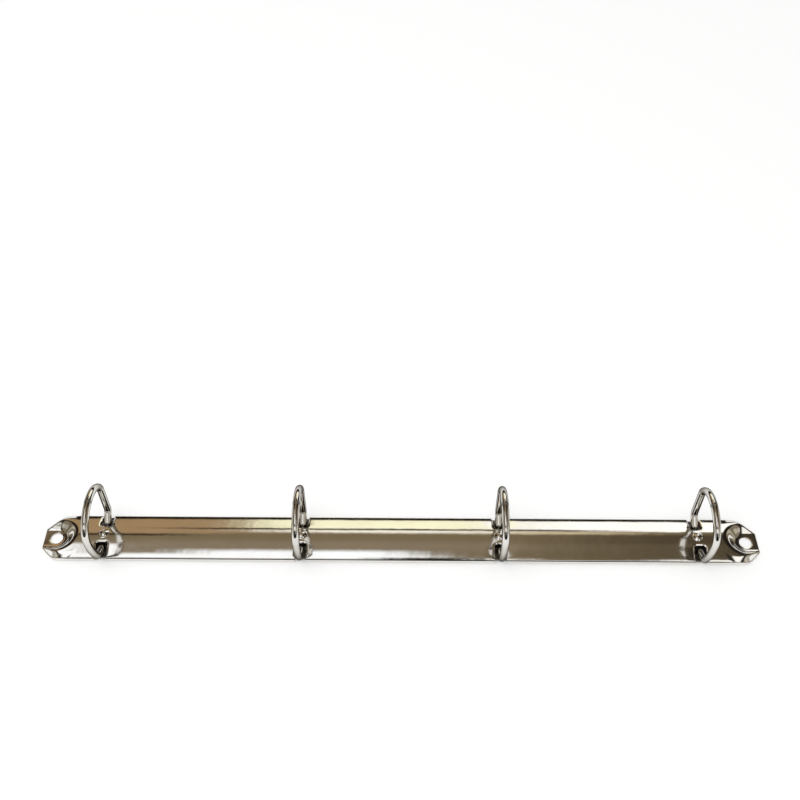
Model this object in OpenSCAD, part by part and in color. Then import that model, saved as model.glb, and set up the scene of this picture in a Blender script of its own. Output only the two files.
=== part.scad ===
// Four-ring binder mechanism with D rings, opened by pulling the rings apart.
// X runs along the cover, +Y to the straight posts, +Z up. The origin is on the base plane,
// midway between the two mounting holes.

/* [Cover] */
// Overall length of the cover
cover_l = 290; // [284:1:310]
// Overall width of the cover across its rims
cover_w = 21; // [20.8:0.1:22.4]
// Height of the arch above the base
cover_h = 4.6; // [4.4:0.1:5.4]
// Thickness of the pressed sheet
sheet = 0.7; // [0.6:0.05:0.8]
// How far a rim's lip reaches under the plate, past the hinge axis
lip_l = 0.8; // [0.4:0.1:1.2]
// Diameter of the raised pip at each ring
pip_d = 4; // [3.4:0.1:4.4]
// Height of the raised pip
pip_h = 0.75; // [0.5:0.05:0.9]

/* [Ring notches] */
// Width of a notch along the cover
notch_w = 4.8; // [4.2:0.1:5.6]
// Distance from the centre line to a notch's inner end
notch_in = 3.7; // [3.2:0.1:3.9]
// Corner radius of a notch's inner end
notch_round = 1.3; // [0.8:0.1:2]
// Strip of rim that is left outside a notch
notch_rim = 0.5; // [0.4:0.05:0.65]

/* [Mounting ends] */
// Distance between the two mounting holes
hole_pitch = 280; // [276:0.5:282]
// Diameter of a mounting hole
hole_d = 5; // [4:0.1:5.6]
// Diameter of the flat floor of a mounting dish
dish_floor_d = 8.2; // [7.4:0.2:9]
// Diameter of a mounting dish at the top of the arch
dish_top_d = 16.6; // [14:0.2:17.4]
// Width of the straight edge at each end
end_w = 9.4; // [8.6:0.2:10.4]
// Length over which each end narrows
taper_l = 5.8; // [5:0.2:7]
// Lean of the sloping corner walls from upright, in degrees
corner_lean = 30; // [20:1:36]
// Height of the upright foot of a sloping corner wall
corner_foot = 0.4; // [0.3:0.05:0.6]

/* [Rings] */
// Distance from one ring to the next
ring_pitch = 80; // [76:0.5:82]
// Diameter of the ring wire
wire_d = 2.9; // [2.7:0.1:3.2]
// Height of the wire's centreline at the top of a ring
ring_top = 29.7; // [28:0.1:36]
// Reach of the wire's centreline in front of the centre line
ring_front = 14.8; // [14.4:0.1:15.4]
// Distance of the top of a ring in front of the centre line
seam_set = 2.8; // [2:0.1:3.4]
// Distance of the straight posts behind the centre line
post_y = 10.4; // [10:0.1:10.8]
// How much the bend radius of a ring's top exceeds its reach to either side
crown_spare = 1.4; // [1.2:0.1:3]
// Bend radius of the front shoulder
shoulder_r = 6.6; // [5:0.1:7.2]
// Bend radius of the front side
side_r = 36; // [31:1:44]
// Bend radius of the front lower corner
corner_r = 2.1; // [1.8:0.1:2.6]
// Bend radius where a post turns over to the top
post_shoulder_r = 3.6; // [2.8:0.1:4.4]
// Rise of the front leg over the rim, in degrees
leg_rise = 26; // [22:1:28]
// Slope of the rear leg up to its post, in degrees
kink_rise = 38; // [36:1:42]
// Bend radius above the front foot
front_foot_r = 1.9; // [1.7:0.05:2]
// Bend radius above the rear foot
rear_foot_r = 1.8; // [1.7:0.05:2]
// Bend radius at the bottom of a post
post_foot_r = 2.4; // [1.8:0.1:3]

/* [Hinge plates] */
// Thickness of a hinge plate
plate_t = 0.9; // [0.8:0.05:1]
// Slope of a closed plate down to the centre line, in degrees
plate_tilt = 3.5; // [2.5:0.1:3.8]
// Distance from the hinge axis to a ring's foot
foot_in = 3.5; // [3.4:0.05:3.7]
// Width of an interlocking finger
finger_w = 8; // [5:0.5:14]
// Reach of a finger over the centre line
finger_l = 1; // [0.6:0.1:1.4]

/* [Riveted feet] */
// Diameter of the tenon that passes through a plate
tenon_d = 2; // [1.6:0.1:2.4]
// Diameter of the peened head under a plate
head_d = 3.2; // [2.8:0.1:3.6]
// Thickness of the peened head
head_t = 0.3; // [0.2:0.05:0.35]

/* [Clearances] */
// Between a plate's round edge and the curled rim
hinge_clear = 0.1; // [0.06:0.01:0.15]
// Between the front leg and the rim
leg_clear = 0.38; // [0.3:0.01:0.5]
// Between the rear leg and the rim
kink_clear = 0.45; // [0.4:0.01:0.6]
// Between the inner edges of the two plates
centre_gap = 0.3; // [0.2:0.05:0.5]
// Around an interlocking finger
finger_clear = 0.3; // [0.2:0.05:0.5]
// Between the end of a plate and the wall of a dish
end_clear = 0.9; // [0.5:0.1:2]
// Between the two tips of a ring
seam_gap = 0.08; // [0.04:0.01:0.2]
// Around a tenon in its plate
tenon_clear = 0.02; // [0.01:0.01:0.04]

/* [Hidden] */
$fn = 64;
// Extra length of every cut
overrun = 1;
// Depth of the pointed joint between the two tips of a ring
chevron_l = 0.9;
// How much the wire's radius swells in a tight bend
bend_swell = 0.02;
// How far a length of wire runs on into the bend beside it
bend_lap = 0.1;
ring_count = 4;
// Places of the front plate's fingers, in ring pitches
finger_shares = [-1.25, -0.25, 0.75];

wire_r = wire_d / 2;
groove_r = plate_t / 2 + hinge_clear;
rim_r = groove_r + sheet;
rim_y = cover_w / 2 - rim_r;
front_axis = [-rim_y, rim_r];
rear_axis = [rim_y, rim_r];
hole_x = hole_pitch / 2;

function heading(a) = [cos(a), sin(a)];
function left_of(a) = [-sin(a), cos(a)];
function bearing(v) = (atan2(v[1], v[0]) + 360) % 360;
// Where the line through p at angle a meets the line through q at angle b
function meet(p, a, q, b) =
    p + heading(a) * cross(q - p, heading(b)) / cross(heading(a), heading(b));
// Where the line through p at angle a leaves the circle of radius r about c
function leave(p, a, c, r) =
    let (m = p - c, along = m * heading(a))
    p + heading(a) * (sqrt(along * along - m * m + r * r) - along);

// Arch of the cover, tangent to the curled rims
arch_r = (rim_y * rim_y + pow(cover_h - rim_r, 2) - rim_r * rim_r) / (2 * (cover_h - 2 * rim_r));
arch_c = [0, cover_h - arch_r];
arch_a = bearing(rear_axis - arch_c);

// Mounting dish, a cone that widens upwards
dish_slope = (dish_top_d - dish_floor_d) / 2 / (cover_h - sheet);
dish_wall = sheet * sqrt(1 + dish_slope * dish_slope);

// Front half of a ring, from its seam at the top down to its foot
crown_r = max(post_y + seam_set, ring_front - seam_set) + crown_spare;
crown_c = [-seam_set, ring_top - crown_r];
shoulder_y = shoulder_r - ring_front;
shoulder_a = asin((crown_c[0] - shoulder_y) / (crown_r - shoulder_r));
shoulder_c = [shoulder_y, crown_c[1] + (crown_r - shoulder_r) * cos(shoulder_a)];
side_c = [side_r - ring_front, shoulder_c[1]];
leg_a = 180 - leg_rise;
leg_p = front_axis - left_of(leg_a) * (rim_r + wire_r + leg_clear);
corner_c = leave(leg_p - left_of(leg_a) * corner_r, leg_a, side_c, side_r - corner_r);
corner_a = bearing(corner_c - side_c);
front_foot_a = 90 - plate_tilt;
front_foot = front_axis + heading(-plate_tilt) * foot_in + heading(front_foot_a) * plate_t / 2;
front_foot_c = meet(front_foot + left_of(front_foot_a) * front_foot_r, front_foot_a,
    leg_p + left_of(leg_a) * front_foot_r, leg_a);

// Rear half of a ring, from its foot up to the seam
rear_foot_a = 90 + plate_tilt;
rear_foot = rear_axis - heading(plate_tilt) * foot_in + heading(rear_foot_a) * plate_t / 2;
kink_p = rear_axis + left_of(kink_rise) * (rim_r + wire_r + kink_clear);
rear_foot_c = meet(rear_foot - left_of(rear_foot_a) * rear_foot_r, rear_foot_a,
    kink_p - left_of(kink_rise) * rear_foot_r, kink_rise);
post_foot_c = meet(kink_p + left_of(kink_rise) * post_foot_r, kink_rise, [post_y - post_foot_r, 0], 90);
post_shoulder_y = post_y - post_shoulder_r;
post_shoulder_c = [post_shoulder_y,
    crown_c[1] + sqrt(pow(crown_r - post_shoulder_r, 2) - pow(post_shoulder_y - crown_c[0], 2))];
post_shoulder_a = bearing(post_shoulder_c - crown_c);
seam_lap = asin(chevron_l / crown_r);

// Hinge plates
plate_w = rim_y - centre_gap / 2;
plate_l = hole_pitch - dish_top_d - 2 * (dish_wall + end_clear);

function ring_x(i) = (i - (ring_count + 1) / 2) * ring_pitch;

// Stands a drawing of the YZ section up at a place along X
module section_at(x) {
    translate([x, 0, 0]) rotate([90, 0, 90]) children();
}

// Slice of a disc between two angles under 180 degrees apart
module slice(c, r, a, b) {
    reach = r / cos((b - a) / 4) + overrun;
    translate(c) intersection() {
        circle(r);
        polygon([[0, 0], heading(a) * reach, heading((a + b) / 2) * reach, heading(b) * reach]);
    }
}

// Section under the arch and inside the rims, drawn in by a thickness
module arch_section(inset) {
    spring = arch_c + heading(arch_a) * (arch_r - inset);
    intersection() {
        translate(arch_c) circle(arch_r - inset);
        translate([-cover_w / 2, spring[1]]) square([cover_w, cover_h]);
    }
    slice(rear_axis, rim_r - inset, -90, arch_a);
    slice(front_axis, rim_r - inset, 180 - arch_a, 270);
    polygon([[-rim_y, inset], [rim_y, inset], rear_axis, spring, [-spring[0], spring[1]], front_axis]);
}

module along_cover(l) {
    section_at(-l / 2) linear_extrude(l) children();
}

// Corner of the narrowed end, drawn in by a thickness
function end_corner(inset) =
    let (
        start = [cover_l / 2 - taper_l, cover_w / 2],
        a = bearing([cover_l / 2, end_w / 2] - start),
        p = start - left_of(a) * inset
    )
    [meet(p, a, [0, cover_w / 2 - inset], 0), meet(p, a, [cover_l / 2 - inset, 0], 90)];

// Outline of the cover seen from above
module plan(inset) {
    c = end_corner(inset);
    quarter = [c[0], c[1]];
    polygon(concat(quarter,
        [for (i = [1, 0]) [quarter[i][0], -quarter[i][1]]],
        [for (i = [0, 1]) -quarter[i]],
        [for (i = [1, 0]) [-quarter[i][0], quarter[i][1]]]));
}

// Space outside the sloping walls of the four corners, drawn in by a thickness
module corner_slopes(inset) {
    c = end_corner(0);
    a = bearing(c[1] - c[0]);
    reach = cover_w;
    for (turn = [0, 180], side = [-1, 1])
        rotate([0, 0, turn]) translate([c[1][0], side * c[1][1], corner_foot])
            rotate([0, 0, 90 + side * (a - 90)]) rotate([corner_lean, 0, 0])
                translate([-reach, -inset, -reach]) cube(2 * reach);
}

// Dish from one height up through the arch, open to the end and widened by a thickness
module dish(z, wall) {
    top = cover_h + overrun;
    low_r = dish_floor_d / 2 + wall + dish_slope * (z - sheet);
    top_r = dish_floor_d / 2 + wall + dish_slope * (top - sheet);
    for (turn = [0, 180])
        rotate([0, 0, turn]) {
            translate([hole_x, 0, z]) cylinder(h = top - z, r1 = low_r, r2 = top_r);
            section_at(hole_x) linear_extrude(cover_l / 2 - hole_x + overrun)
                polygon([[-low_r, z], [low_r, z], [top_r, top], [-top_r, top]]);
        }
}

// Ball of a pip at every ring, drawn in by a thickness
module pips(inset) {
    ball_r = (pow(pip_d / 2, 2) + pip_h * pip_h) / (2 * pip_h);
    for (i = [1:ring_count])
        translate([ring_x(i), 0, cover_h + pip_h - ball_r]) sphere(ball_r - inset);
}

module cover_block() {
    difference() {
        intersection() {
            along_cover(cover_l) arch_section(0);
            linear_extrude(cover_h + overrun) plan(0);
        }
        corner_slopes(0);
    }
    pips(0);
}

module cover_hollow() {
    difference() {
        union() {
            intersection() {
                along_cover(cover_l) arch_section(sheet);
                linear_extrude(cover_h) plan(sheet);
            }
            pips(sheet);
        }
        dish(-overrun, dish_wall);
        corner_slopes(sheet);
    }
}

// Opening between the lips of the two rims
module lip_opening() {
    opening_w = 2 * (rim_y - lip_l);
    difference() {
        translate([0, 0, -overrun]) linear_extrude(sheet + 2 * overrun)
            intersection() {
                square([cover_l, opening_w], center = true);
                plan(sheet);
            }
        dish(-2 * overrun, dish_wall);
        corner_slopes(sheet);
    }
}

module ring_notches() {
    outer = cover_w / 2 - notch_rim;
    inner_w = notch_w - 2 * notch_round;
    for (i = [1:ring_count], side = [-1, 1])
        translate([ring_x(i), 0, rim_r]) linear_extrude(cover_h) rotate([0, 0, 90 - 90 * side]) {
            translate([-inner_w / 2, notch_in]) square([inner_w, outer - notch_in]);
            translate([-notch_w / 2, notch_in + notch_round]) square([notch_w, outer - notch_in - notch_round]);
            for (k = [-1, 1]) translate([k * inner_w / 2, notch_in + notch_round]) circle(notch_round);
        }
}

module cover() {
    color("gainsboro") difference() {
        cover_block();
        dish(sheet, 0);
        cover_hollow();
        lip_opening();
        ring_notches();
        for (side = [-1, 1])
            translate([side * hole_x, 0, -overrun]) cylinder(h = sheet + 2 * overrun, d = hole_d);
    }
}

// Hinge plate lying along +Y from its axis, with the round edge on the axis
module flat_plate() {
    inner = plate_w + finger_l;
    difference() {
        union() {
            along_cover(plate_l) {
                slice([0, 0], plate_t / 2, 90, 270);
                translate([0, -plate_t / 2]) square([plate_w, plate_t]);
            }
            for (s = finger_shares)
                translate([s * ring_pitch - finger_w / 2, rim_r, -plate_t / 2])
                    cube([finger_w, inner - rim_r, plate_t]);
        }
        for (s = finger_shares)
            translate([-s * ring_pitch - finger_w / 2 - finger_clear, plate_w - finger_l - finger_clear, -plate_t])
                cube([finger_w + 2 * finger_clear, finger_l + finger_clear + overrun, 2 * plate_t]);
        for (i = [1:ring_count])
            translate([ring_x(i), foot_in, -plate_t]) cylinder(h = 2 * plate_t, d = tenon_d + 2 * tenon_clear);
    }
}

module hinge_plate() {
    translate([0, -rim_y, rim_r]) rotate([-plate_tilt, 0, 0]) flat_plate();
}

module front_hinge_plate() {
    color("darkgray") hinge_plate();
}

module rear_hinge_plate() {
    color("darkgray") rotate([0, 0, 180]) hinge_plate();
}

// Straight length of wire from p to q in the ring's plane, which runs on at q, and at p where it is told to
module wire_line(p, q, start_lap) {
    a = bearing(q - p);
    translate(p - heading(a) * start_lap) rotate([0, 0, a]) rotate([0, 90, 0])
        cylinder(h = norm(q - p) + start_lap + bend_lap, r = wire_r);
}

module wire_arc(c, r, thick_r, a, b) {
    translate(c) rotate([0, 0, a]) rotate_extrude(angle = b - a) translate([r, 0]) circle(thick_r);
}

// Tight bend about c, from angle a to angle b, in which the wire swells
module tight_bend(c, r, a, b) {
    wire_arc(c, r, wire_r + bend_swell, a, b);
}

// Wide bend about c, which runs on into the tight bends beside it
module wide_bend(c, r, a, b) {
    lap = bend_lap / r * 180 / PI;
    wire_arc(c, r, wire_r, a - lap, b + lap);
}

// Tenon through the plate and the head peened over under it
module riveted_foot(p, a) {
    translate(p) rotate([0, 0, a]) rotate([0, -90, 0]) {
        translate([0, 0, -bend_lap]) cylinder(h = plate_t + head_t / 2 + bend_lap, d = tenon_d);
        translate([0, 0, plate_t]) cylinder(h = head_t, d = head_d);
    }
}

// Space on one side of a ring's pointed seam: side 1 is behind it, side -1 is ahead of it
module beside_seam(side) {
    half = wire_d;
    tip = chevron_l / 2 - side * seam_gap / 2;
    wing = tip - chevron_l * half / wire_r;
    translate([0, -seam_set, ring_top - wire_d]) linear_extrude(2 * wire_d)
        polygon([[0, tip], [half, wing], [half, side * 2 * wire_d], [-half, side * 2 * wire_d], [-half, wing]]);
}

module front_ring(i) {
    translate([ring_x(i), 0, 0]) color("whitesmoke") difference() {
        section_at(0) {
            riveted_foot(front_foot, front_foot_a);
            wire_line(front_foot, front_foot_c - left_of(front_foot_a) * front_foot_r, 0);
            tight_bend(front_foot_c, front_foot_r, front_foot_a - 90, leg_a - 90);
            wire_line(front_foot_c - left_of(leg_a) * front_foot_r, corner_c + left_of(leg_a) * corner_r, bend_lap);
            tight_bend(corner_c, corner_r, corner_a, leg_a + 90);
            wide_bend(side_c, side_r, 180, corner_a);
            tight_bend(shoulder_c, shoulder_r, 90 + shoulder_a, 180);
            wide_bend(crown_c, crown_r, 90 - seam_lap, 90 + shoulder_a);
        }
        beside_seam(1);
    }
}

module rear_ring(i) {
    translate([ring_x(i), 0, 0]) color("whitesmoke") difference() {
        section_at(0) {
            riveted_foot(rear_foot, rear_foot_a);
            wire_line(rear_foot, rear_foot_c + left_of(rear_foot_a) * rear_foot_r, 0);
            tight_bend(rear_foot_c, rear_foot_r, kink_rise + 90, rear_foot_a + 90);
            wire_line(rear_foot_c + left_of(kink_rise) * rear_foot_r,
                post_foot_c - left_of(kink_rise) * post_foot_r, bend_lap);
            tight_bend(post_foot_c, post_foot_r, kink_rise - 90, 0);
            wire_line([post_y, post_foot_c[1]], [post_y, post_shoulder_c[1]], bend_lap);
            tight_bend(post_shoulder_c, post_shoulder_r, 0, post_shoulder_a);
            wide_bend(crown_c, crown_r, post_shoulder_a, 90 + seam_lap);
        }
        beside_seam(-1);
    }
}

cover();
front_hinge_plate();
rear_hinge_plate();
for (i = [1:ring_count]) {
    front_ring(i);
    rear_ring(i);
}
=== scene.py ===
import math
import bmesh
import bpy
from mathutils import Matrix, Vector


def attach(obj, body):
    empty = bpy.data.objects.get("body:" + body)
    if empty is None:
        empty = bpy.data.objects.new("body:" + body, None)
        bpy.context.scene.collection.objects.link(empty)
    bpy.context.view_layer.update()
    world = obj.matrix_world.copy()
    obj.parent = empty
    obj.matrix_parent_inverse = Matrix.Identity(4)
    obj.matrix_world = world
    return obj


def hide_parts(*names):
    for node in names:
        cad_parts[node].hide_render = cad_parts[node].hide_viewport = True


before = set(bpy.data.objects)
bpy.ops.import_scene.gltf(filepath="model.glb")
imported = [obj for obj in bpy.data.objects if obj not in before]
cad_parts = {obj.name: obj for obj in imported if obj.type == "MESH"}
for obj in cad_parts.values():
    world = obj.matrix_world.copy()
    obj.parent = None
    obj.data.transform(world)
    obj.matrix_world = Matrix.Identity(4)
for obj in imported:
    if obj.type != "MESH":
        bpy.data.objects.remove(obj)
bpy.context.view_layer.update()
mm = 0.001
print("frame loaded:", len(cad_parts), "nodes")


class Wire:  # a shader socket that takes part in sums
    def __init__(self, book, socket):
        self.book, self.socket = book, socket

    def calc(self, operation, *values):
        return self.book.node("ShaderNodeMath", {"operation": operation}, dict(enumerate(values)))

    def __add__(self, other):
        return self.calc("ADD", self, other)

    def __radd__(self, other):
        return self.calc("ADD", other, self)

    def __sub__(self, other):
        return self.calc("SUBTRACT", self, other)

    def __rsub__(self, other):
        return self.calc("SUBTRACT", other, self)

    def __mul__(self, other):
        return self.calc("MULTIPLY", self, other)

    def __rmul__(self, other):
        return self.calc("MULTIPLY", other, self)

    def __abs__(self):
        return self.calc("ABSOLUTE", self)


class NodeBook:  # one node tree, with the only method that adds nodes to it
    def __init__(self, tree):
        self.tree = tree
        tree.nodes.clear()

    def node(self, kind, settings=None, inputs=None, out=0):
        made = self.tree.nodes.new(kind)
        for key, value in (settings or {}).items():
            setattr(made, key, value)
        for key, value in (inputs or {}).items():
            if isinstance(value, Wire):
                self.tree.links.new(value.socket, made.inputs[key])
            else:
                made.inputs[key].default_value = value
        return Wire(self, made.outputs[out] if made.outputs else None)

    def span(self, value, low, high):  # 0 at low, 1 at high, smooth between
        return self.node("ShaderNodeMapRange", {"interpolation_type": "SMOOTHSTEP"},
                         {"Value": value, "From Min": low, "From Max": high})

    def mix(self, share, first, second):
        return self.node("ShaderNodeMix", {"data_type": "RGBA"}, {0: share, 6: first, 7: second}, 2)

    def noise(self, place, scale, detail=3.0, rough=0.5):
        return self.node("ShaderNodeTexNoise", None,
                         {"Vector": place, "Scale": scale, "Detail": detail, "Roughness": rough})

    def stretched(self, place, scale):
        return self.node("ShaderNodeMapping", None, {"Vector": place, "Scale": scale})


def newMaterial(name):
    material = bpy.data.materials.new(name)
    material.use_nodes = True
    return material, NodeBook(material.node_tree)


def axisParts(book, place):
    made = book.node("ShaderNodeSeparateXYZ", None, {0: place})
    node = made.socket.node
    return [Wire(book, node.outputs[i]) for i in range(3)]


nickelLook = {
    "bright": (0.86, 0.845, 0.815),
    "shade": (0.80, 0.78, 0.74),
    "edge": (0.70, 0.69, 0.67),
    "roughLow": 0.045,
    "roughCloud": 0.05,
    "roughStreak": 0.035,
    "scuffRough": 0.16,
    "waveHeight": 0.00006,
    "peelHeight": 0.000004,
    "cloudNoise": (55, 4),  # noises: scale, detail, roughness
    "grainNoise": (2600, 2),
    "waveNoise": (120, 2),
    "streakStretch": (40, 900, 900), "streakNoise": (1.6, 5, 0.65),
    "scuffStretch": (260, 700, 700), "scuffNoise": (1.0, 6, 0.7),
    "scuffSpan": (0.62, 0.72), "scuffCloud": (0.45, 0.6),
    "shadeSpan": (0.3, 0.7),
    "rubbedWidth": (0.0005, 0.0011), "rubbedHeight": (0.024, 0.026),
    "rubbedRough": 0.3, "rubbedColour": (0.42, 0.41, 0.39),
}
wireLook = {
    **nickelLook,
    "bright": (0.79, 0.77, 0.735),
    "shade": (0.70, 0.675, 0.63),
    "edge": (0.10, 0.09, 0.075),
}


def platedNickel(name, look, seamY=None):
    material, book = newMaterial(name)
    place = book.node("ShaderNodeTexCoord", None, None, 3)
    cloud = book.noise(place, *look["cloudNoise"])
    streak = book.noise(book.stretched(place, look["streakStretch"]), *look["streakNoise"])
    grain = book.noise(place, *look["grainNoise"])
    scuffField = book.noise(book.stretched(place, look["scuffStretch"]), *look["scuffNoise"])
    scuff = book.span(scuffField, *look["scuffSpan"]) * book.span(cloud, *look["scuffCloud"])
    rough = look["roughLow"] + look["roughCloud"] * cloud + look["roughStreak"] * streak
    rough = rough + look["scuffRough"] * scuff
    shaded = book.span(cloud, *look["shadeSpan"])
    colour = book.mix(shaded, look["bright"] + (1,), look["shade"] + (1,))
    if seamY is not None:  # the tips are rubbed dull where the two halves meet
        _, y, z = axisParts(book, place)
        rubbed = 1 - book.span(abs(y - seamY * mm), *look["rubbedWidth"])
        rubbed = rubbed * book.span(z, *look["rubbedHeight"])
        rough = rough + look["rubbedRough"] * rubbed
        colour = book.mix(rubbed, colour, look["rubbedColour"] + (1,))
    wave = book.noise(place, *look["waveNoise"])
    height = look["waveHeight"] * wave + look["peelHeight"] * grain
    bump = book.node("ShaderNodeBump", None, {"Strength": 1.0, "Distance": 1.0, "Height": height})
    shader = book.node("ShaderNodeBsdfPrincipled", None,
                       {"Base Color": colour, "Metallic": 1.0, "Roughness": rough, "Normal": bump,
                        "Specular Tint": look["edge"] + (1,)})
    book.node("ShaderNodeOutputMaterial", None, {0: shader})
    return material


# The strip steel's colours are kept darker than bare steel as painted shade, so the hinge strips and the
# cover's underside look black inside the notches. Its blotches and rolled streaks are the steel's own.
stripAndShadeLook = {
    "clean": (0.34, 0.33, 0.315), "dull": (0.22, 0.215, 0.20),
    "rough": 0.24, "roughBlotch": 0.16, "roughRolled": 0.1, "rolledHeight": 0.00003,
    "rolledStretch": (30, 1500, 1500), "rolledNoise": (1.2, 5, 0.7),
    "blotchNoise": (90, 5, 0.6), "blotchSpan": (0.35, 0.7),
}


def dullStripAndShade(name, look):
    material, book = newMaterial(name)
    place = book.node("ShaderNodeTexCoord", None, None, 3)
    rolled = book.noise(book.stretched(place, look["rolledStretch"]), *look["rolledNoise"])
    blotch = book.noise(place, *look["blotchNoise"])
    dulled = book.span(blotch, *look["blotchSpan"])
    colour = book.mix(dulled, look["clean"] + (1,), look["dull"] + (1,))
    rough = look["rough"] + look["roughBlotch"] * blotch + look["roughRolled"] * rolled
    height = look["rolledHeight"] * rolled
    bump = book.node("ShaderNodeBump", None, {"Strength": 1.0, "Distance": 1.0, "Height": height})
    shader = book.node("ShaderNodeBsdfPrincipled", None,
                       {"Base Color": colour, "Metallic": 1.0, "Roughness": rough, "Normal": bump})
    book.node("ShaderNodeOutputMaterial", None, {0: shader})
    return material


def finishPiece(bm, name, body, node, materials):
    bmesh.ops.scale(bm, vec=(mm, mm, mm), verts=bm.verts)
    mesh = bpy.data.meshes.new(name)
    bm.to_mesh(mesh)
    bm.free()
    piece = bpy.data.objects.new(name, mesh)
    bpy.context.scene.collection.objects.link(piece)
    for material in materials:
        mesh.materials.append(material)
    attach(piece, body)
    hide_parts(node)
    return piece


def softEdges(piece, width, angle):
    edges = piece.modifiers.new("edges", "BEVEL")
    edges.width = width * mm
    edges.segments = 2
    edges.limit_method = "ANGLE"
    edges.angle_limit = math.radians(angle)
    edges.harden_normals = True


def heading(angle):
    turn = math.radians(angle)
    return Vector((math.cos(turn), math.sin(turn)))


def leftOf(angle):
    return heading(angle + 90)


def bearing(way):
    return math.degrees(math.atan2(way.y, way.x)) % 360


def crossOf(a, b):
    return a.x * b.y - a.y * b.x


def meet(p, a, q, b):  # where two lines cross
    return p + heading(a) * (crossOf(q - p, heading(b)) / crossOf(heading(a), heading(b)))


def leave(p, a, c, r):  # where a line comes out of a circle
    m = p - c
    along = m.dot(heading(a))
    return p + heading(a) * (math.sqrt(along * along - m.dot(m) + r * r) - along)


hingeShape = {"rimR": 1.25, "rimY": 9.25, "plateT": 0.9, "tilt": 3.5}
ringShape = {
    "count": 4, "pitch": 80, "wireR": 1.45, "around": 48,
    "stepAngle": 3.0, "leastSteps": 4, "longBendR": 10, "longBendSteps": 24,
    "top": 29.7, "front": 14.8, "seamSet": 2.8, "postY": 10.4, "crownR": 14.6,
    "shoulderR": 6.6, "sideR": 36.0, "cornerR": 2.1, "postShoulderR": 3.6,
    "legRise": 26, "kinkRise": 38, "frontFootR": 1.9, "rearFootR": 1.8, "postFootR": 2.4,
    "footIn": 3.5, "legClear": 0.38, "kinkClear": 0.45,
    "tenonR": 1.0, "headR": 1.6, "headT": 0.3, "headDome": 0.12,
    "seamGap": 0.08, "chevron": 0.9, "tipBevel": 0.14, "overrun": 1.0,
    "tipZone": 20, "sharpAngle": 40, "hair": 1e-4, "merge": 0.002,
}


def ringPlace(s, i):
    return (i - (s["count"] - 1) / 2) * s["pitch"]


def frontPath(s, h):  # foot, then bends (centre, from angle, to angle) and lines up to the seam
    axis = Vector((-h["rimY"], h["rimR"]))
    legA = 180 - s["legRise"]
    crown = Vector((-s["seamSet"], s["top"] - s["crownR"]))
    shoulderY = s["shoulderR"] - s["front"]
    lean = math.degrees(math.asin((crown.x - shoulderY) / (s["crownR"] - s["shoulderR"])))
    lift = (s["crownR"] - s["shoulderR"]) * math.cos(math.radians(lean))
    shoulder = Vector((shoulderY, crown.y + lift))
    side = Vector((s["sideR"] - s["front"], shoulder.y))
    legP = axis - leftOf(legA) * (h["rimR"] + s["wireR"] + s["legClear"])
    corner = leave(legP - leftOf(legA) * s["cornerR"], legA, side, s["sideR"] - s["cornerR"])
    cornerA = bearing(corner - side)
    footA = 90 - h["tilt"]
    foot = axis + heading(-h["tilt"]) * s["footIn"] + heading(footA) * (h["plateT"] / 2)
    bend = meet(foot + leftOf(footA) * s["frontFootR"], footA,
                legP + leftOf(legA) * s["frontFootR"], legA)
    past = math.degrees(s["overrun"] / s["crownR"])
    return foot, footA, [(bend, footA - 90, legA - 90), (corner, legA + 90, cornerA),
                         (side, cornerA, 180), (shoulder, 180, 90 + lean),
                         (crown, 90 + lean, 90 - past)]


def rearPath(s, h):
    axis = Vector((h["rimY"], h["rimR"]))
    crown = Vector((-s["seamSet"], s["top"] - s["crownR"]))
    footA = 90 + h["tilt"]
    foot = axis - heading(h["tilt"]) * s["footIn"] + heading(footA) * (h["plateT"] / 2)
    rise = s["kinkRise"]
    kink = axis + leftOf(rise) * (h["rimR"] + s["wireR"] + s["kinkClear"])
    bend = meet(foot - leftOf(footA) * s["rearFootR"], footA,
                kink - leftOf(rise) * s["rearFootR"], rise)
    postBend = meet(kink + leftOf(rise) * s["postFootR"], rise,
                    Vector((s["postY"] - s["postFootR"], 0)), 90)
    shoulderY = s["postY"] - s["postShoulderR"]
    reach = s["crownR"] - s["postShoulderR"]
    shoulder = Vector((shoulderY, crown.y + math.sqrt(reach ** 2 - (shoulderY - crown.x) ** 2)))
    over = bearing(shoulder - crown)
    past = math.degrees(s["overrun"] / s["crownR"])
    return foot, footA, [(bend, footA + 90, rise + 90), (postBend, rise - 90, 0),
                         (shoulder, 0, over), (crown, over, 90 + past)]


def pushOut(bm, rim, shift=(0, 0, 0), grow=1.0):  # draws a tube's open rim out by one step
    made = bmesh.ops.extrude_edge_only(bm, edges=rim)["geom"]
    verts = [g for g in made if isinstance(g, bmesh.types.BMVert)]
    fresh = set(verts)
    rim = [g for g in made if isinstance(g, bmesh.types.BMEdge) and fresh.issuperset(g.verts)]
    if grow != 1.0:
        middle = sum((v.co for v in verts), Vector()) / len(verts)
        bmesh.ops.scale(bm, vec=(grow,) * 3, verts=verts, space=Matrix.Translation(-middle))
    bmesh.ops.translate(bm, vec=shift, verts=verts)
    return rim, verts


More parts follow.
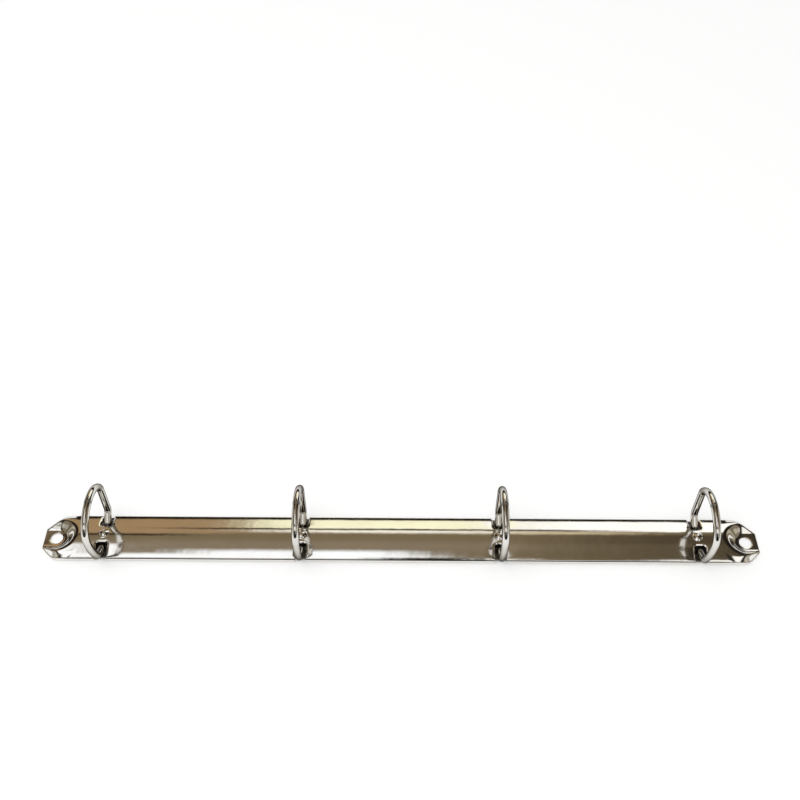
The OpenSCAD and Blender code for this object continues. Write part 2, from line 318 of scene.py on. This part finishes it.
def bentWire(s, h, path):
    foot, footA, bends = path
    up = Vector((0, *heading(footA)))
    bm = bmesh.new()
    start = Vector((0, *foot)) - up * (h["plateT"] + s["headT"])
    across = up.cross(Vector((1, 0, 0)))
    stand = Matrix(((1, across.x, up.x, start.x), (0, across.y, up.y, start.y),
                    (0, across.z, up.z, start.z), (0, 0, 0, 1)))
    small = s["headR"] - s["headDome"] * 2
    bmesh.ops.create_circle(bm, cap_ends=True, segments=s["around"], radius=small, matrix=stand)
    rim = list(bm.edges)
    rim, _ = pushOut(bm, rim, up * s["headDome"], s["headR"] / small)  # peened head
    rim, _ = pushOut(bm, rim, up * (s["headT"] - s["headDome"]))
    rim, _ = pushOut(bm, rim, (0, 0, 0), s["tenonR"] / s["headR"])  # tenon through the plate
    rim, _ = pushOut(bm, rim, up * h["plateT"])
    rim, _ = pushOut(bm, rim, (0, 0, 0), s["wireR"] / s["tenonR"])  # full wire
    here = foot
    for centre, fromA, toA in bends:
        radius = bendRadius(centre, fromA, here)
        first = centre + heading(fromA) * radius
        if (first - here).length > s["hair"]:
            rim, _ = pushOut(bm, rim, Vector((0, *(first - here))))
        steps = max(s["leastSteps"], round(abs(toA - fromA) / s["stepAngle"]))
        if radius > s["longBendR"]:
            steps = max(steps, s["longBendSteps"])
        made = bmesh.ops.spin(bm, geom=rim, cent=(0, *centre), axis=(1, 0, 0), dvec=(0, 0, 0),
                              angle=math.radians(toA - fromA), steps=steps, use_duplicate=False)
        rim = [g for g in made["geom_last"] if isinstance(g, bmesh.types.BMEdge)]
        here = centre + heading(toA) * radius
    return bm


def bendRadius(centre, fromA, here):  # the line from here runs square to the bend's first spoke
    return (here - centre).dot(heading(fromA))


def cutSeam(bm, s, ahead):  # the front half ends in a point, the rear half in the notch for it
    half = s["chevron"] / 2
    tipY = -s["seamSet"] + half + (-1 if ahead else 1) * s["seamGap"] / 2
    for side in (-1, 1):
        way = Vector((side * s["chevron"], s["wireR"], 0)).normalized()
        faces = []
        for f in bm.faces:
            middle = f.calc_center_median()
            if middle.z > s["tipZone"] and (ahead or middle.x * side > 0):
                faces.append(f)
        geom = dict.fromkeys(faces)  # unlike a set, it keeps its order
        for f in faces:
            geom.update(dict.fromkeys((*f.verts, *f.edges)))
        bmesh.ops.bisect_plane(bm, geom=list(geom), dist=s["hair"] / 10, plane_co=(0, tipY, 0),
                               plane_no=way, clear_outer=ahead, clear_inner=not ahead)
    bmesh.ops.remove_doubles(bm, verts=bm.verts, dist=s["hair"])
    rim = [e for e in bm.edges if e.is_boundary]
    inMiddle = (v for v in {v for e in rim for v in e.verts} if abs(v.co.x) < s["hair"] * 10)
    inMiddle = sorted(inMiddle, key=lambda v: v.co.z)
    ridge = bm.edges.new((inMiddle[0], inMiddle[-1]))
    for side in (-1, 1):
        part = [e for e in rim if sum(v.co.x for v in e.verts) * side > 0]
        bmesh.ops.contextual_create(bm, geom=part + [ridge])
    return rim


def makeRing(name, body, node, x, ahead, material):
    s, h = ringShape, hingeShape
    bm = bentWire(s, h, frontPath(s, h) if ahead else rearPath(s, h))
    rim = cutSeam(bm, s, ahead)
    bmesh.ops.recalc_face_normals(bm, faces=bm.faces)
    for face in bm.faces:
        face.smooth = len(face.verts) <= 4
    rim = [e for e in rim if e.is_valid]
    bmesh.ops.bevel(bm, geom=rim, offset=s["tipBevel"], segments=2, profile=0.5,
                    affect="EDGES", material=-1)
    bmesh.ops.remove_doubles(bm, verts=bm.verts, dist=s["merge"])
    bmesh.ops.recalc_face_normals(bm, faces=bm.faces)
    if bm.calc_volume(signed=True) < 0:
        bmesh.ops.reverse_faces(bm, faces=bm.faces)
    for edge in bm.edges:
        if len(edge.link_faces) == 2 and edge.calc_face_angle(0) > math.radians(s["sharpAngle"]):
            edge.smooth = False
    bmesh.ops.translate(bm, vec=(x, 0, 0), verts=bm.verts)
    finishPiece(bm, name, body, node, [material])


coverShape = {
    "length": 290, "width": 21, "height": 4.6, "sheet": 0.7, "lip": 0.8, "arcR": 22.71,
    "holeX": 140, "holeR": 2.5, "holeRoll": 0.12, "holeRollWidth": 0.6,
    "dishFloorR": 4.1, "dishTopR": 8.6, "dishSoft": 0.8, "ridgeSoft": 1.3,
    "endZone": 130, "endWidth": 9.4, "taper": 5.8, "taperSoft": 2.2, "inset": 0.5, "mitre": 1.3,
    "skirtFoot": 0.1, "skirtRise": 0.5, "skirtReach": 0.6, "skirtIn": 0.3, "dropShare": 0.6,
    "faceSteep": 1.5, "faceSlack": 0.42, "slackFrom": 0.5, "cornerSoft": 0.8,
    "fadeBefore": 6.5, "fadeLength": 7.0, "fullCurl": 0.999,
    "pipR": 2.0, "pipH": 0.75, "pipSoft": 0.16,
    "notchHalf": 2.4, "notchIn": 3.7, "notchRound": 1.3,
    "rollIn": 0.3, "rollWidth": 0.8, "rollEnd": 9.6,
    "rimSteps": 24, "lipSteps": 3, "roundSteps": 7, "thinned": 0.65, "shortStep": 0.08,
    "edgeBevel": 0.1, "edgeAngle": 50, "probe": 0.05, "gapProbe": 0.01,
    "ringZone": 3.2, "longStep": 4, "endStep": 0.8, "fineStep": 0.2, "crossStep": 0.25,
}


def softMin(a, b, soft):
    near = max(soft - abs(a - b), 0) / soft
    return min(a, b) - near * near * soft / 4


def smooth(t):
    t = min(max(t, 0), 1)
    return t * t * (3 - 2 * t)


def spread(start, end, step):
    count = max(1, round((end - start) / step))
    return [start + (end - start) * k / count for k in range(count)]


def taperLine(c, x):  # plan line of a corner, run on past the corner
    slope = (c["width"] - c["endWidth"]) / 2 / c["taper"]
    return c["width"] / 2 - (abs(x) - c["length"] / 2 + c["taper"]) * slope, slope


def halfWidth(c, x):  # plan outline of the cover, which narrows at the ends
    return softMin(c["width"] / 2, taperLine(c, x)[0], c["taperSoft"])


def curlShare(c, x):  # 1 where the rim is curled, 0 where the corners run out in a low skirt
    start = c["length"] / 2 - c["taper"]
    return 1 - smooth((abs(x) - start + c["fadeBefore"]) / c["fadeLength"])


def cornerTop(c, x, y):  # a low round skirt, then a face that slackens towards the long rim
    line, slope = taperLine(c, x)
    inward = (line - y) / math.hypot(1, slope)
    along = c["length"] / 2 - abs(x) + (y - c["endWidth"] / 2) * slope
    along = along / c["taper"] / (1 + slope * slope)
    steep = c["faceSteep"] + (c["faceSlack"] - c["faceSteep"]) * smooth(along - c["slackFrom"])
    skirt = c["skirtRise"] * math.sqrt(1 - (1 - min(max(inward / c["skirtReach"], 0), 1)) ** 2)
    return c["skirtFoot"] + skirt + steep * max(inward - c["skirtReach"] / 2, 0)


def coverTop(c, h, x, y):
    y = abs(y)
    tangent = h["rimY"] + h["rimR"] * h["rimY"] / (c["arcR"] - h["rimR"])
    arch = c["height"] - c["arcR"] + math.sqrt(c["arcR"] ** 2 - y * y)
    curled = arch
    if y > tangent:
        curled = h["rimR"] + math.sqrt(max(h["rimR"] ** 2 - (y - h["rimY"]) ** 2, 0))
    share = curlShare(c, x)
    z = softMin(curled * share + arch * (1 - share), cornerTop(c, x, y), c["cornerSoft"])
    radius = math.hypot(max(c["holeX"] - abs(x), 0), y)
    slope = (c["dishTopR"] - c["dishFloorR"]) / (c["height"] - c["sheet"])
    rise = -softMin(-(radius - c["dishFloorR"]) / slope, 0, c["dishSoft"])
    return softMin(z, c["sheet"] + rise, c["ridgeSoft"])


def pipRise(c, away):
    ball = (c["pipR"] ** 2 + c["pipH"] ** 2) / 2 / c["pipH"]
    cap = math.sqrt(max(ball * ball - away * away, 0)) - ball + c["pipH"]
    return -softMin(-cap, 0, c["pipSoft"])


def notchGap(c, x, y):  # distance outside a notch's outline, a slot with two round corners
    across = abs(x) - c["notchHalf"] + c["notchRound"]
    along = c["notchIn"] + c["notchRound"] - abs(y)
    return math.hypot(max(across, 0), max(along, 0)) + min(max(across, along), 0) - c["notchRound"]


def holeGap(c, x, y):
    return math.hypot(abs(x) - c["holeX"], y) - c["holeR"]


def cutGap(c, x, y):  # distance outside the nearest notch or hole
    if abs(x) > c["endZone"]:
        return holeGap(c, x, y)
    pitch = ringShape["pitch"]
    return notchGap(c, abs(abs(x) - pitch) - pitch / 2, y)


def gridLines(c):  # columns along the cover, closer at rings and ends, and rows from -1 to 1
    xEnd = c["length"] / 2 - c["inset"]
    half, here = [], 0
    for i in range(ringShape["count"] // 2, ringShape["count"]):
        ringX, zone = ringPlace(ringShape, i), c["ringZone"]
        half += spread(here, ringX - zone, c["longStep"])
        half += spread(ringX - zone, ringX + zone, c["fineStep"])
        here = ringX + zone
    half += spread(here, c["endZone"], c["endStep"])
    half += spread(c["endZone"], xEnd, c["fineStep"]) + [xEnd]
    edgeY = c["width"] / 2 - c["inset"]
    rows = [y / edgeY for y in spread(-edgeY, edgeY, c["crossStep"]) + [edgeY]]
    return [-x for x in reversed(half[1:])] + half, rows


def makeCover(outer, inner):
    c, h = coverShape, hingeShape
    columns, rows = gridLines(c)
    nx, ny = len(columns) - 1, len(rows) - 1
    bm = bmesh.new()
    bmesh.ops.create_grid(bm, x_segments=nx, y_segments=ny, size=0.5)
    rimId = bm.verts.layers.int.new("rimId")
    rimFacts = {}
    ringXs = [ringPlace(ringShape, i) for i in range(ringShape["count"])]
    for v in bm.verts:
        i, j = round((v.co.x + 0.5) * nx), round((v.co.y + 0.5) * ny)
        x = columns[i]
        y = rows[j] * (halfWidth(c, x) - c["inset"])
        v.co = (x, y, 0)
        atEnd, atSide = i in (0, nx), j in (0, ny)
        if atEnd or atSide:
            v[rimId] = len(rimFacts) + 1
            d = c["probe"]
            tilt = (halfWidth(c, abs(x) + d) - halfWidth(c, abs(x) - d)) / (2 * d)
            out = Vector((0, 0))
            if atSide:
                out += Vector((-tilt * math.copysign(1, x), math.copysign(1, y))).normalized()
            if atEnd:
                out += Vector((math.copysign(1, x), 0))
            out = out / max(out.length_squared, 1)
            if atEnd and atSide:
                out *= c["mitre"]
            lean = atSide / (1 + atEnd)
            top = coverTop(c, h, x, y)
            squeeze = min(top / coverTop(c, h, 0, y), 1) if atSide else 1
            rimFacts[v[rimId]] = (Vector((x, y)), out, top, curlShare(c, x), lean, squeeze)
    rim = [e for e in bm.edges if e.is_boundary]
    # punch the notches and the mounting holes, with the cut edges drawn on to their outlines
    gone = [f for f in bm.faces if cutGap(c, *f.calc_center_median()[:2]) < 0]
    bmesh.ops.delete(bm, geom=gone, context="FACES")
    rim = [e for e in rim if e.is_valid]
    rimVerts = {v for e in rim for v in e.verts}
    for v in bm.verts:
        if v.is_boundary and v not in rimVerts:
            x, y, d = v.co.x, v.co.y, c["gapProbe"]
            way = Vector((cutGap(c, x + d, y) - cutGap(c, x - d, y),
                          cutGap(c, x, y + d) - cutGap(c, x, y - d)))
            shift = way.normalized() * cutGap(c, x, y)
            v.co.x, v.co.y = x - shift.x, y - shift.y
    # press the sheet to its shape
    for v in bm.verts:
        x, y, gap = v.co.x, v.co.y, max(cutGap(c, v.co.x, v.co.y), 0)
        z = coverTop(c, h, x, y)
        if abs(x) < c["endZone"]:
            z += pipRise(c, min(math.hypot(x - ringX, y) for ringX in ringXs))
            rolled = c["rollIn"] * max(1 - gap / c["rollWidth"], 0) ** 2
            z -= rolled * smooth(c["rollEnd"] - abs(y))
        else:
            z -= c["holeRoll"] * max(1 - gap / c["holeRollWidth"], 0) ** 2
        v.co.z = z
    # curl the long rims in and turn the ends down, with the sheet thinned where it is turned down
    thick = bm.verts.layers.deform.verify()
    for v in bm.verts:
        v[thick][0] = 1.0
    first = math.degrees(math.acos((c["width"] / 2 - c["inset"] - h["rimY"]) / h["rimR"]))
    total = c["rimSteps"] + c["lipSteps"]
    for step in range(1, total + 1):
        rim, verts = pushOut(bm, rim)
        for v in verts:
            base, out, top, share, lean, squeeze = rimFacts[v[rimId]]
            turn = math.radians(first - (first + 90) * min(step, c["rimSteps"]) / c["rimSteps"])
            curlOut = c["inset"] + h["rimR"] * (math.cos(turn) - 1)
            curlOut -= c["lip"] * max(step - c["rimSteps"], 0) / c["lipSteps"]
            curlZ = h["rimR"] * (1 + math.sin(turn)) * squeeze
            drop = min(c["inset"], c["dropShare"] * top)
            part = min(step / c["roundSteps"], 1)
            bend = math.pi / 2 * part
            wallOut = c["inset"] * math.sin(bend) * (1 - lean * c["skirtIn"])
            turned = 1 - math.cos(bend)
            wallZ = top - drop * turned * (1 - lean) - (top - c["skirtFoot"]) * turned * lean
            low = (top - drop) * (1 - lean) + c["skirtFoot"] * lean
            wallZ -= low * max(step - c["roundSteps"], 0) / (total - c["roundSteps"])
            v[thick][0] = 1 - c["thinned"] * (1 - share) * smooth(part)
            reach = curlOut * share + wallOut * (1 - share)
            v.co = (*(base + out * reach), curlZ * share + wallZ * (1 - share))
    short = [v for v in bm.verts if v[rimId] and rimFacts[v[rimId]][3] < c["fullCurl"]]
    bmesh.ops.remove_doubles(bm, verts=short, dist=c["shortStep"])
    bmesh.ops.recalc_face_normals(bm, faces=bm.faces)
    if sum(f.normal.z * f.calc_area() for f in bm.faces) < 0:
        bmesh.ops.reverse_faces(bm, faces=bm.faces)
    for f in bm.faces:
        f.smooth = True
    piece = finishPiece(bm, "pressedCover", "cover", "cover", [outer, inner])
    wall = piece.modifiers.new("sheet", "SOLIDIFY")
    wall.thickness = c["sheet"] * mm
    wall.vertex_group = piece.vertex_groups.new(name="thick").name
    wall.offset = -1
    wall.use_even_offset = True
    # the inner face takes the second material, the strip steel darkened as painted shade
    wall.material_offset = 1
    wall.material_offset_rim = 0
    softEdges(piece, c["edgeBevel"], c["edgeAngle"])


plateShape = {"bevel": 0.1, "edgeAngle": 40, "flat": 1.0, "merge": 1e-6}


def makePlate(name, body, node, material):
    bm = bmesh.new()
    bm.from_mesh(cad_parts[node].data)
    bmesh.ops.remove_doubles(bm, verts=bm.verts, dist=plateShape["merge"])
    flat = math.radians(plateShape["flat"])
    bmesh.ops.dissolve_limit(bm, angle_limit=flat, verts=bm.verts, edges=bm.edges)
    bmesh.ops.recalc_face_normals(bm, faces=bm.faces)
    bmesh.ops.scale(bm, vec=(1 / mm,) * 3, verts=bm.verts)
    for f in bm.faces:
        f.smooth = True
    piece = finishPiece(bm, name, body, node, [material])
    softEdges(piece, plateShape["bevel"], plateShape["edgeAngle"])


coverNickel = platedNickel("coverNickel", nickelLook)
wireNickel = platedNickel("wireNickel", wireLook, seamY=-ringShape["seamSet"])
stripSteelAndShade = dullStripAndShade("stripSteelAndShade", stripAndShadeLook)
print("finishes made")

makeCover(coverNickel, stripSteelAndShade)
print("cover pressed")
makePlate("frontStrip", "front_half", "front_hinge_plate", stripSteelAndShade)
makePlate("rearStrip", "rear_half", "rear_hinge_plate", stripSteelAndShade)
print("hinge strips laid in")
for i in range(ringShape["count"]):
    x = ringPlace(ringShape, i)
    makeRing(f"curvedWire{i + 1}", "front_half", f"front_ring_{i + 1}", x, True, wireNickel)
    makeRing(f"postWire{i + 1}", "rear_half", f"rear_ring_{i + 1}", x, False, wireNickel)
print("ring halves bent")

cameraSpot = {
    "place": (0.89, -225.41, 343.96), "pitch": 48.715, "yaw": 0.317, "roll": -0.1,
    "lens": 45, "sensor": 36, "near": 0.01,
}


def placeCamera(spot):
    data = bpy.data.cameras.new("photoView")
    data.lens = spot["lens"]
    data.sensor_width = spot["sensor"]
    data.clip_start = spot["near"]
    camera = bpy.data.objects.new("photoView", data)
    bpy.context.scene.collection.objects.link(camera)
    turn = Matrix.Rotation(math.radians(spot["yaw"]), 4, "Z")
    turn = turn @ Matrix.Rotation(math.radians(90 - spot["pitch"]), 4, "X")
    turn = turn @ Matrix.Rotation(math.radians(-spot["roll"]), 4, "Z")
    camera.matrix_world = Matrix.Translation(Vector(spot["place"]) * mm) @ turn
    bpy.context.scene.camera = camera


floorLook = {"size": 6.0, "colour": (0.82, 0.82, 0.815), "lift": 0.25}


def layFloor(look):
    bm = bmesh.new()
    bmesh.ops.create_grid(bm, x_segments=2, y_segments=2, size=look["size"])
    mesh = bpy.data.meshes.new("table")
    bm.to_mesh(mesh)
    bm.free()
    table = bpy.data.objects.new("table", mesh)
    bpy.context.scene.collection.objects.link(table)
    material, book = newMaterial("paleTable")
    seen = book.node("ShaderNodeLightPath")
    path = seen.socket.node.outputs
    plain = Wire(book, path["Is Camera Ray"]) + Wire(book, path["Is Glossy Ray"])
    plain = plain + Wire(book, path["Is Transmission Ray"])
    glow = book.mix(plain, (0, 0, 0, 1), (1, 1, 1, 1))
    shader = book.node("ShaderNodeBsdfPrincipled", None,
                       {"Base Color": look["colour"] + (1,), "Roughness": 1.0,
                        "Specular IOR Level": 0.0, "Emission Color": glow,
                        "Emission Strength": look["lift"]})
    book.node("ShaderNodeOutputMaterial", None, {0: shader})
    mesh.materials.append(material)


# what the metal mirrors: turn is 0 in front, 90 overhead, 180 behind; lean is left to right
studioLook = {
    "fill": (0.80, 0.80, 0.80),
    "room": (0.21, 0.16, 0.092),
    "panels": [
        {"colour": (0.27, 0.215, 0.145), "turn": (88, 108), "lean": (-9, 0.16), "soft": (10, 0.12)},
        {"colour": (0.115, 0.088, 0.052), "turn": (62, 106), "lean": (0.17, 9), "soft": (8, 0.10)},
        {"colour": (0.085, 0.062, 0.036), "turn": (104, 130), "lean": (0.17, 9), "soft": (6, 0.10)},
        {"colour": (0.035, 0.029, 0.02), "turn": (62, 130), "lean": (0.315, 9), "soft": (4, 0.03)},
        {"colour": (0.010, 0.008, 0.006), "turn": (-9, 58), "lean": (-9, 9), "soft": (2, 0.05)},
        {"colour": (1.15, 1.14, 1.12), "turn": (41, 53), "lean": (-9, 9), "soft": (2, 0.05)},
        {"colour": (1.15, 1.14, 1.10), "turn": (26, 52), "lean": (0.315, 0.46), "soft": (2, 0.02)},
        {"colour": (0.22, 0.23, 0.18), "turn": (26, 44), "lean": (-0.46, -0.315), "soft": (2, 0.02)},
        {"colour": (1.15, 1.10, 0.95), "turn": (129, 136), "lean": (-0.15, 0.12), "soft": (4, 0.05)},
        {"colour": (0.80, 0.66, 0.42), "turn": (129, 134), "lean": (0.10, 0.22), "soft": (4, 0.04)},
        {"colour": (1.15, 1.12, 0.80), "turn": (138, 170), "lean": (-0.16, 0.12), "soft": (1, 0.04)},
        {"colour": (1.3, 1.28, 1.22), "turn": (136, 170), "lean": (0.10, 9), "soft": (1, 0.06)},
        {"colour": (0.40, 0.265, 0.14), "turn": (125, 170), "lean": (-9, -0.16), "soft": (2, 0.05)},
        {"colour": (0.03, 0.016, 0.008), "turn": (136, 140), "lean": (-0.22, 0.20), "soft": (0.7, 0.05)},
        {"colour": (0.03, 0.016, 0.008), "turn": (119, 123), "lean": (-9, -0.22), "soft": (1, 0.03)},
        {"colour": (0.015, 0.009, 0.004), "turn": (166, 189), "lean": (-9, 9), "soft": (2, 0.05)},
        {"colour": (1.2, 1.24, 1.3), "turn": (60, 87), "lean": (-0.21, 0.01), "soft": (5, 0.03)},
        {"colour": (1.2, 1.22, 1.25), "turn": (60, 79), "lean": (-0.44, 0.03), "soft": (4, 0.03)},
        {"colour": (1.2, 1.22, 1.25), "turn": (60, 100), "lean": (-0.44, -0.295), "soft": (4, 0.015)},
        {"colour": (0.010, 0.008, 0.006), "turn": (-9, 73), "lean": (-0.025, 0.08), "soft": (2, 0.02)},
        {"colour": (1.2, 1.18, 1.12), "turn": (54, 72), "lean": (0.25, 0.44), "soft": (3, 0.02)},
        {"colour": (1.2, 1.18, 1.12), "turn": (54, 73), "lean": (0.085, 0.115), "soft": (3, 0.01)},
        {"colour": (0.014, 0.010, 0.006), "turn": (-9, 189), "lean": (0.43, 9), "soft": (4, 0.06)},
        {"colour": (0.014, 0.010, 0.006), "turn": (-9, 189), "lean": (-9, -0.49), "soft": (4, 0.06)},
        {"colour": (0.21, 0.17, 0.115), "turn": (-9, 189), "lean": (0.82, 9), "soft": (4, 0.04)},
        {"colour": (0.18, 0.15, 0.105), "turn": (-9, 189), "lean": (-9, -0.82), "soft": (4, 0.04)},
        {"colour": (0.62, 0.57, 0.46), "turn": (22, 60), "lean": (0.80, 9), "soft": (14, 0.06)},
        {"colour": (0.50, 0.47, 0.40), "turn": (22, 60), "lean": (-9, -0.84), "soft": (14, 0.06)},
        {"colour": (0.55, 0.50, 0.40), "turn": (118, 152), "lean": (0.86, 9), "soft": (14, 0.05)},
        {"colour": (0.55, 0.50, 0.40), "turn": (118, 152), "lean": (-9, -0.86), "soft": (14, 0.05)},
        {"colour": (0.40, 0.39, 0.36), "turn": (-9, 30), "lean": (0.52, 9), "soft": (6, 0.05)},
        {"colour": (0.40, 0.39, 0.36), "turn": (-9, 30), "lean": (-9, -0.52), "soft": (6, 0.05)},
        {"colour": (0.24, 0.20, 0.14), "turn": (34, 112), "lean": (0.60, 0.84), "soft": (8, 0.05)},
        {"colour": (0.24, 0.20, 0.14), "turn": (34, 112), "lean": (-0.84, -0.60), "soft": (8, 0.05)},
        {"colour": (0.70, 0.66, 0.58), "turn": (36, 46), "lean": (0.60, 0.86), "soft": (7, 0.04)},
        {"colour": (0.70, 0.66, 0.58), "turn": (36, 46), "lean": (-0.86, -0.60), "soft": (7, 0.04)},
    ],
}


def setStudio(look):
    world = bpy.data.worlds.new("studio")
    bpy.context.scene.world = world
    world.use_nodes = True
    book = NodeBook(world.node_tree)
    lean, y, z = axisParts(book, book.node("ShaderNodeTexCoord", None, None, 0))
    turn = z.calc("ARCTAN2", z, y * -1.0) * (180 / math.pi)
    room = look["room"] + (1,)
    for panel in look["panels"]:
        share = 1.0
        for value, key, soft in zip((turn, lean), ("turn", "lean"), panel["soft"]):
            low, high = panel[key]
            share = book.span(value, low - soft, low + soft) * share
            share = share * book.span(value, high + soft, high - soft)
        room = book.mix(share, room, panel["colour"] + (1,))
    seen = book.node("ShaderNodeLightPath")
    path = seen.socket.node.outputs
    colour = book.mix(Wire(book, path["Is Glossy Ray"]), look["fill"] + (1,), room)
    colour = book.mix(Wire(book, path["Is Camera Ray"]), colour, (1, 1, 1, 1))
    sky = book.node("ShaderNodeBackground", None, {"Color": colour, "Strength": 1.0})
    book.node("ShaderNodeOutputWorld", None, {0: sky})


softboxLook = {"place": (-0.35, -0.25, 0.9), "size": (0.9, 0.6), "power": 2.2}


def hangLamp(name, look):
    data = bpy.data.lights.new(name, "AREA")
    data.shape = "RECTANGLE"
    data.size, data.size_y = look["size"]
    data.energy = look["power"]
    lamp = bpy.data.objects.new(name, data)
    bpy.context.scene.collection.objects.link(lamp)
    lamp.location = look["place"]
    lamp.rotation_euler = (-Vector(look["place"])).to_track_quat("-Z", "Y").to_euler()
    lamp.visible_camera = False
    lamp.visible_glossy = False  # the painted panels stand for it in the metal


placeCamera(cameraSpot)
layFloor(floorLook)
setStudio(studioLook)
hangLamp("softbox", softboxLook)
bpy.context.scene.view_settings.view_transform = "Standard"
print("camera, floor and light set")

bpy.context.view_layer.update()
